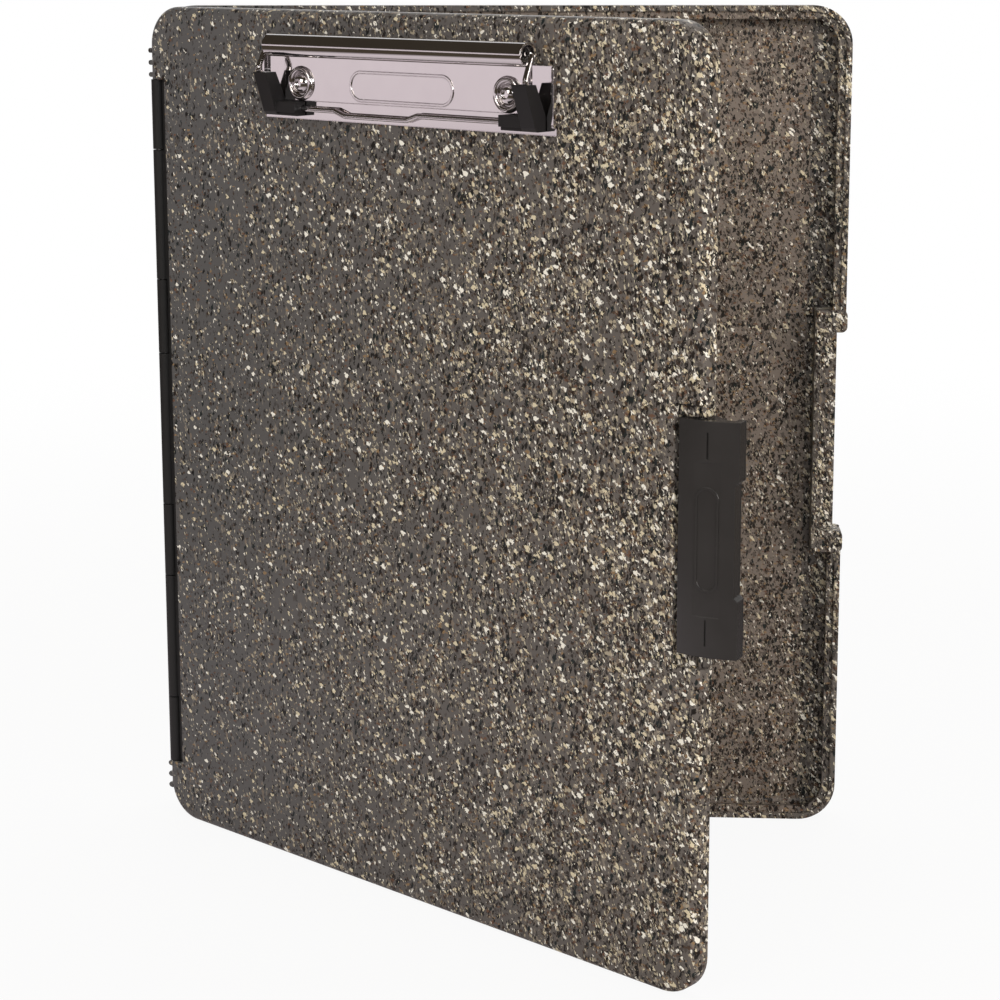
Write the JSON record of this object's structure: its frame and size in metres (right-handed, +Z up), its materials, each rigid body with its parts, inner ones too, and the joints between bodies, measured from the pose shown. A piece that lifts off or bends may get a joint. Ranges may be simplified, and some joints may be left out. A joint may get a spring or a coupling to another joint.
{
  "type": "storage clipboard box",
  "caption": "Slim upright storage case with a hinged clipboard cover, a swinging side latch, and a wire-bail clip on a riveted plate at the cover's top.",
  "frame": {"origin": "middle of the outer face of the tray's bottom wall, which the case stands on", "axes": "+X from the hinge towards the latch side of the tray, +Y out of the tray's back, +Z up the case"},
  "size_m": [0.2642, 0.1846, 0.3175],
  "materials": {
    "granite_plastic": "smoke plastic with pale and dark flecks",
    "black_plastic": "satin",
    "chrome": "bright nickel-chrome plate",
    "rubber": "smooth",
    "steel": "drawn"
  },
  "bodies": {
    "tray": {"tray_shell": "granite_plastic", "hinge_leaf_tray": "black_plastic", "hinge_pin": "steel"},
    "lid": {"lid_shell": "granite_plastic", "hinge_leaf_lid": "black_plastic", "latch_pin": "steel", "clip_plate": "chrome", "clip_rivets": "chrome", "rivet_washers": "steel", "clip_spring_left": "steel", "clip_spring_right": "steel"},
    "latch": {"latch": "black_plastic"},
    "bail": {"clip_bail": "chrome", "clip_grip_left": "rubber", "clip_grip_right": "rubber"}
  },
  "joints": [
    {"name": "lid_hinge", "type": "hinge", "parent": "tray", "child": "lid", "pos_m": [-0.129, -0.01155, 0.156], "axis": [0, 0, -1], "range_deg": [-38.5, 141.5]},
    {"name": "latch_hinge", "type": "hinge", "parent": "lid", "child": "latch", "pos_m": [0.07282, -0.16825, 0.156], "axis": [0, 0, -1], "range_deg": [-75, 12]},
    {"name": "bail_hinge", "type": "hinge", "parent": "lid", "child": "bail", "pos_m": [-0.03066, -0.10076, 0.3055], "axis": [-0.7826, 0.6225, 0], "range_deg": [0, 50], "stiffness_Nm_per_rad": 0.05, "springref_deg": -28.65}
  ]
}
